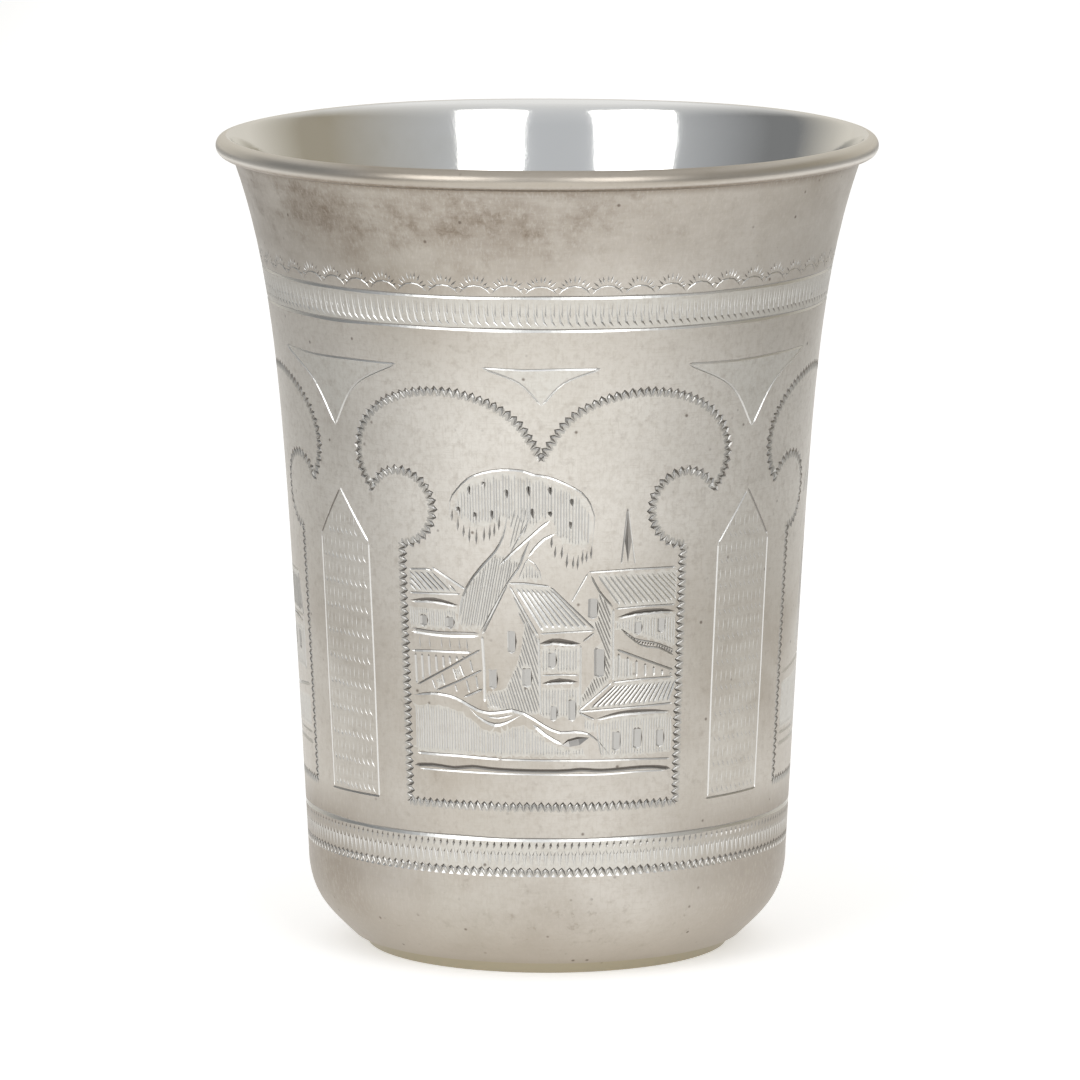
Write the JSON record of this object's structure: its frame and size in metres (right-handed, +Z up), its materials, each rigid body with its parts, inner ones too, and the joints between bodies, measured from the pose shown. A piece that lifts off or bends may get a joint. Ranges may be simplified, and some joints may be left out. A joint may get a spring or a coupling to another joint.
{
  "type": "silver beaker",
  "caption": "Small round silver beaker with a flaring rolled rim, a low stepped foot and an engraved wall of arched panels with a village view.",
  "frame": {"origin": "centre of the flat underside, where the beaker stands", "axes": "+Z up along the turning axis, -Y through the middle of the front panel, +X to the right as seen from the front"},
  "size_m": [0.0648, 0.0648, 0.08],
  "materials": {
    "silver": "aged silver, satin and lightly tarnished outside, polished inside, bright cut lines"
  },
  "bodies": {
    "root": {"beaker": "silver"}
  },
  "joints": []
}
